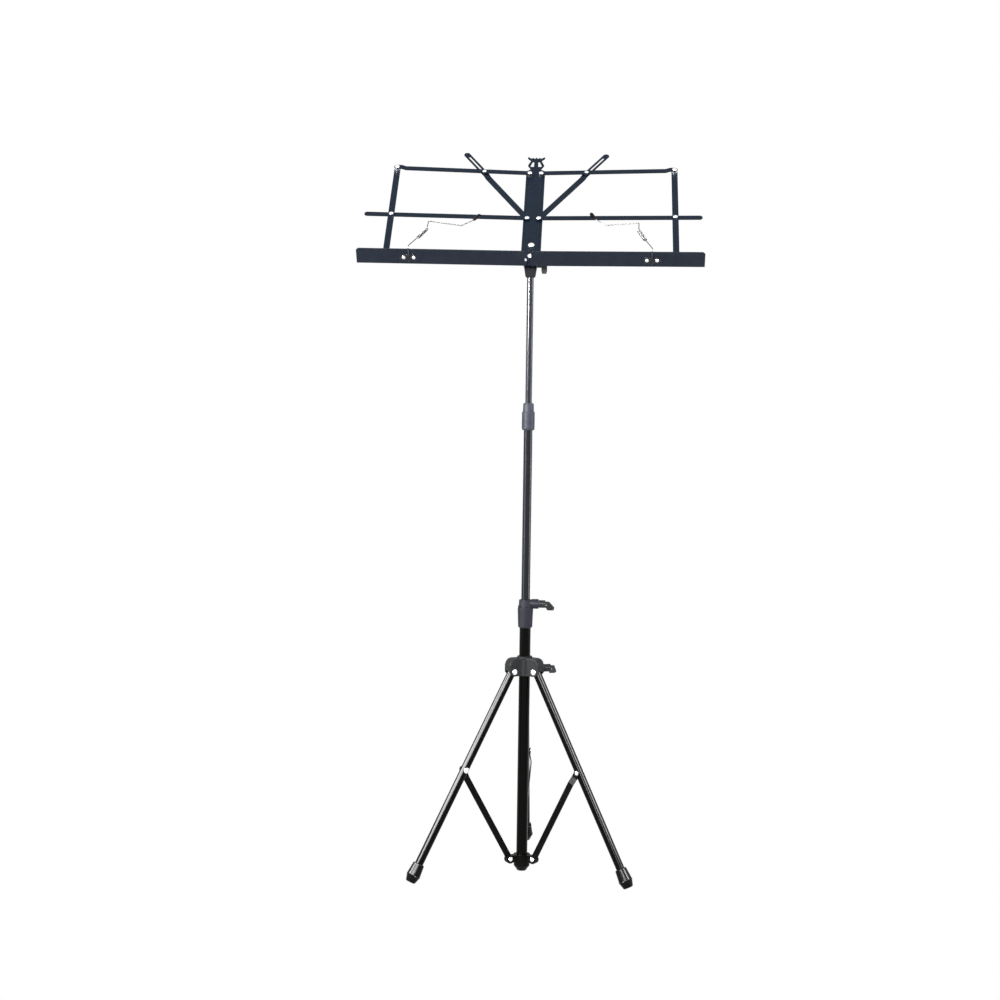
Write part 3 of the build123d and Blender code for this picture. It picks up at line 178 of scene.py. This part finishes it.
# most finishes have little specular, since the gloss lamps below are strong: under
# plain light alone they look duller than real paint
tube_paint = finish_material("tube_paint", (0.0014, 0.0011, 0.0006), (0.002, 0.0016, 0.001),
                             0.13, rough_spread=0.02, specular=0.08, bump=0.000002,
                             grain=300.0)
brace_paint = finish_material("brace_paint", (0.0022, 0.0018, 0.0013), (0.0034, 0.0028, 0.0022),
                              0.28, rough_spread=0.05, specular=0.07, bump=0.00002,
                              edge=(0.012, 0.012, 0.012), edge_share=0.3)
middle_paint = finish_material("middle_paint", (0.006, 0.0095, 0.017),
                               (0.008, 0.012, 0.021), 0.14, rough_spread=0.02,
                               specular=0.3, bump=0.000002, grain=300.0)
# the upper tube's blue-grey base colour is partly its own paint and partly a painted reflection
# of the dim room in front of it
upper_paint_and_reflection = finish_material("upper_paint_and_reflection", (0.021, 0.028, 0.049), (0.028, 0.035, 0.060),
                              0.12, rough_spread=0.02, specular=0.45, bump=0.000002,
                              grain=300.0)
desk_paint = finish_material("desk_paint", (0.006, 0.016, 0.0335), (0.0085, 0.0192, 0.0385),
                             0.42, specular=0.07, edge=(0.02, 0.028, 0.044), bump=0.00003,
                             edge_share=0.35)
ledge_paint = finish_material("ledge_paint", (0.0205, 0.029, 0.048),
                              (0.0245, 0.033, 0.053), 0.45, specular=0.12,
                              edge=(0.045, 0.05, 0.062), edge_share=0.4)
hub_plastic = finish_material("hub_plastic", (0.025, 0.028, 0.030), (0.034, 0.037, 0.039), 0.5,
                              specular=0.08, bump=0.00006, grain=1500.0,
                              edge=(0.08, 0.08, 0.085), edge_share=0.4)
bracket_plastic = finish_material("bracket_plastic", (0.0016, 0.0013, 0.0009),
                                  (0.003, 0.0025, 0.002), 0.3, specular=0.07, bump=0.00003,
                                  edge=(0.02, 0.02, 0.02), edge_share=0.4)
lower_collar_plastic = finish_material("lower_collar_plastic", (0.035, 0.0365, 0.055),
                                       (0.044, 0.0455, 0.065), 0.5, specular=0.08,
                                       bump=0.00005, grain=1600.0, edge=(0.11, 0.11, 0.13),
                                       edge_share=0.4)
neck_plastic = finish_material("neck_plastic", (0.006, 0.008, 0.017), (0.009, 0.011, 0.022),
                               0.4, specular=0.04, bump=0.00004, grain=1600.0,
                               edge=(0.045, 0.045, 0.055), edge_share=0.4)
upper_collar_plastic = finish_material("upper_collar_plastic", (0.08, 0.092, 0.13),
                                       (0.098, 0.11, 0.15), 0.36, specular=0.12, bump=0.00003,
                                       grain=1200.0, edge=(0.2, 0.21, 0.24), edge_share=0.4)
knob_plastic = finish_material("knob_plastic", (0.045, 0.048, 0.052), (0.06, 0.063, 0.068), 0.45,
                               specular=0.08, bump=0.00005, grain=1400.0,
                               edge=(0.15, 0.15, 0.15), edge_share=0.35)
rubber = finish_material("rubber", (0.003, 0.003, 0.0034), (0.007, 0.007, 0.0068), 0.2,
                         rough_spread=0.04, specular=0.08, bump=0.000005, grain=1100.0,
                         patch=60.0, edge=(0.02, 0.02, 0.02), edge_share=0.5)
rivet_nickel = finish_material("rivet_nickel", (0.88, 0.88, 0.89), (0.95, 0.95, 0.95), 0.22,
                               metal=1.0, bump=0.00002, grain=2500.0, patch=200.0,
                               edge=(0.6, 0.6, 0.6), edge_share=0.3)
dark_rivet = finish_material("dark_rivet", (0.10, 0.10, 0.11), (0.15, 0.15, 0.16), 0.38,
                             metal=1.0, bump=0.00003, grain=2500.0, patch=200.0)
screw_steel = finish_material("screw_steel", (0.55, 0.55, 0.57), (0.66, 0.66, 0.67), 0.3,
                              metal=1.0, bump=0.00004, grain=2000.0, patch=150.0,
                              stretch=(1, 1, 12))
wire_steel = finish_material("wire_steel", (0.085, 0.083, 0.082), (0.13, 0.127, 0.125), 0.3,
                             metal=1.0, bump=0.00001, grain=1800.0, patch=120.0)
# the clip's pale edge colour is a painted highlight: its rims drawn lit as if catching the light
clip_steel = finish_material("clip_steel", (0.009, 0.012, 0.02), (0.014, 0.018, 0.026), 0.3,
                             specular=0.3, bump=0.00003, grain=1800.0, patch=120.0,
                             edge=(0.5, 0.52, 0.56), edge_share=0.9)
guide_plastic = finish_material("guide_plastic", (0.62, 0.62, 0.60), (0.7, 0.7, 0.68), 0.5,
                                bump=0.00004, grain=1200.0)

LEGS = ("rear", "right", "left")
WINGS = ("left", "right")
finishes = {
    tube_paint: ["lower_tube"] + [f"{leg}_leg" for leg in LEGS],
    brace_paint: [f"{leg}_brace" for leg in LEGS],
    middle_paint: ["middle_tube"],
    upper_paint_and_reflection: ["upper_tube"],
    desk_paint: ["desk_plate", "tilt_bracket"]
    + [f"{wing}_{part}" for wing in WINGS
       for part in ("upper_rail", "middle_rail", "strut", "diagonal")],
    ledge_paint: [f"{wing}_ledge" for wing in WINGS],
    hub_plastic: ["tripod_hub"],
    bracket_plastic: ["bottom_bracket"],
    lower_collar_plastic: ["lower_collar"],
    neck_plastic: ["tilt_neck"],
    upper_collar_plastic: ["upper_collar"],
    knob_plastic: ["hub_knob", "lower_knob", "upper_knob", "tilt_knob"],
    rubber: [f"{leg}_foot" for leg in LEGS] + [f"{wing}_holder_tip" for wing in WINGS],
    rivet_nickel: ["bracket_rivets", "hub_rivets", "bracket_plate_rivets", "desk_pivot_rivets"]
    + [f"{leg}_leg_rivet" for leg in LEGS]
    + [f"{wing}_{part}" for wing in WINGS for part in ("strut_rivets", "rail_stud",
                                                        "clip_rivets")],
    dark_rivet: ["top_rail_spacers"] + [f"{wing}_slide_pin" for wing in WINGS],
    screw_steel: ["hub_knob_screw", "lower_knob_screw", "upper_knob_screw", "tilt_bolt"],
    wire_steel: [f"{wing}_holder_wire" for wing in WINGS],
    clip_steel: [f"{wing}_holder_clip" for wing in WINGS],
    guide_plastic: ["upper_guide_bush"],
}
for material, names in finishes.items():
    for name in names:
        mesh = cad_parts[name].data
        mesh.materials.clear()
        mesh.materials.append(material)


# -------------------------------------------------------- floor and lights
def seen_rays(tree):
    """1 for the rays that show the background: seen, mirrored or let through."""
    path = tree.nodes.new("ShaderNodeLightPath")
    total = path.outputs["Is Camera Ray"]
    for kind in ("Is Glossy Ray", "Is Transmission Ray"):
        larger = tree.nodes.new("ShaderNodeMath")
        larger.operation = "MAXIMUM"
        tree.links.new(total, larger.inputs[0])
        tree.links.new(path.outputs[kind], larger.inputs[1])
        total = larger.outputs["Value"]
    return total


FLOOR_REACH = 6.0
FLOOR_GREY = (0.82, 0.82, 0.82, 1)
FLOOR_ROUGHNESS = 0.9
WHITE = (1, 1, 1, 1)
ROOM_COLOUR = (0.9, 0.94, 1.0, 1)
ROOM_STRENGTH = 0.45
WHITE_STRENGTH = 1.0

floor_mesh = bpy.data.meshes.new("floor")
corners = [(x * FLOOR_REACH, y * FLOOR_REACH, 0)
           for x, y in ((-1, -1), (1, -1), (1, 1), (-1, 1))]
floor_mesh.from_pydata(corners, [], [(0, 1, 2, 3)])
floor = bpy.data.objects.new("floor", floor_mesh)
bpy.context.scene.collection.objects.link(floor)
# the grey floor only throws light back on the stand: seen or mirrored it is plain
# white, so the stand's shadow on it doesn't show
floor_look = Nodes("floor_look")
floor_look.shader.inputs["Base Color"].default_value = FLOOR_GREY
floor_look.shader.inputs["Roughness"].default_value = FLOOR_ROUGHNESS
white = floor_look.make("ShaderNodeEmission")
white.inputs["Color"].default_value = WHITE
choose = floor_look.make("ShaderNodeMixShader")
floor_look.tree.links.new(seen_rays(floor_look.tree), choose.inputs["Fac"])
floor_look.tree.links.new(floor_look.shader.outputs["BSDF"], choose.inputs[1])
floor_look.tree.links.new(white.outputs["Emission"], choose.inputs[2])
floor_look.join(choose, "Shader", floor_look.output, "Surface")
floor_mesh.materials.append(floor_look.material)

world = bpy.data.worlds.new("studio")
bpy.context.scene.world = world
world.use_nodes = True
sky = world.node_tree
sky.nodes.clear()
sky_out = sky.nodes.new("ShaderNodeOutputWorld")
room = sky.nodes.new("ShaderNodeBackground")
room.inputs["Color"].default_value = ROOM_COLOUR
room.inputs["Strength"].default_value = ROOM_STRENGTH
paper = sky.nodes.new("ShaderNodeBackground")
paper.inputs["Color"].default_value = WHITE
paper.inputs["Strength"].default_value = WHITE_STRENGTH
sky_mix = sky.nodes.new("ShaderNodeMixShader")
sky.links.new(seen_rays(sky), sky_mix.inputs["Fac"])
sky.links.new(room.outputs["Background"], sky_mix.inputs[1])
sky.links.new(paper.outputs["Background"], sky_mix.inputs[2])
sky.links.new(sky_mix.outputs["Shader"], sky_out.inputs["Surface"])


def soft_light(name, azimuth, elevation, distance, target_height, size, power,
               gloss_only=False):
    """An area lamp that faces the mast; a gloss lamp lights the shine alone."""
    target = Vector((0, 0, target_height))
    turn = math.radians(azimuth)
    rise = math.radians(elevation)
    away = Vector((math.sin(turn) * math.cos(rise), -math.cos(turn) * math.cos(rise),
                   math.sin(rise)))
    data = bpy.data.lights.new(name, "AREA")
    data.shape = "RECTANGLE"
    data.size, data.size_y = size
    data.energy = power
    lamp = bpy.data.objects.new(name, data)
    bpy.context.scene.collection.objects.link(lamp)
    lamp.location = target + away * distance
    lamp.rotation_euler = (-away).to_track_quat("-Z", "Y").to_euler()
    lamp.visible_diffuse = not gloss_only


soft_light("front", -11.7, 25.3, 3.27, 0.6, (1.4, 1.0), 16)
soft_light("top", 0, 77.5, 1.85, 0.8, (1.6, 1.2), 12)
# gloss lamps, placed for the photograph's highlights: upright strips for the mast's
# tubes, boxes for the leaning legs and a card for the braces
soft_light("left_strip", -60, 0, 2.4, 0.85, (0.6, 1.6), 26, gloss_only=True)
soft_light("right_strip", 88, 0, 2.3, 0.85, (0.45, 1.6), 28, gloss_only=True)
soft_light("front_left_box", -30, 26, 3.4, 0.2, (3.6, 0.75), 760, gloss_only=True)
soft_light("side_left_box", -74, 30, 2.4, 0.2, (1.1, 0.6), 200, gloss_only=True)
soft_light("front_right_box", 9, 21, 3.8, 0.2, (0.5, 0.7), 75, gloss_only=True)
soft_light("side_right_box", 62, 31, 2.4, 0.2, (0.9, 0.6), 130, gloss_only=True)
soft_light("brace_card", -45, 14, 3.0, 0.2, (0.7, 0.4), 110, gloss_only=True)
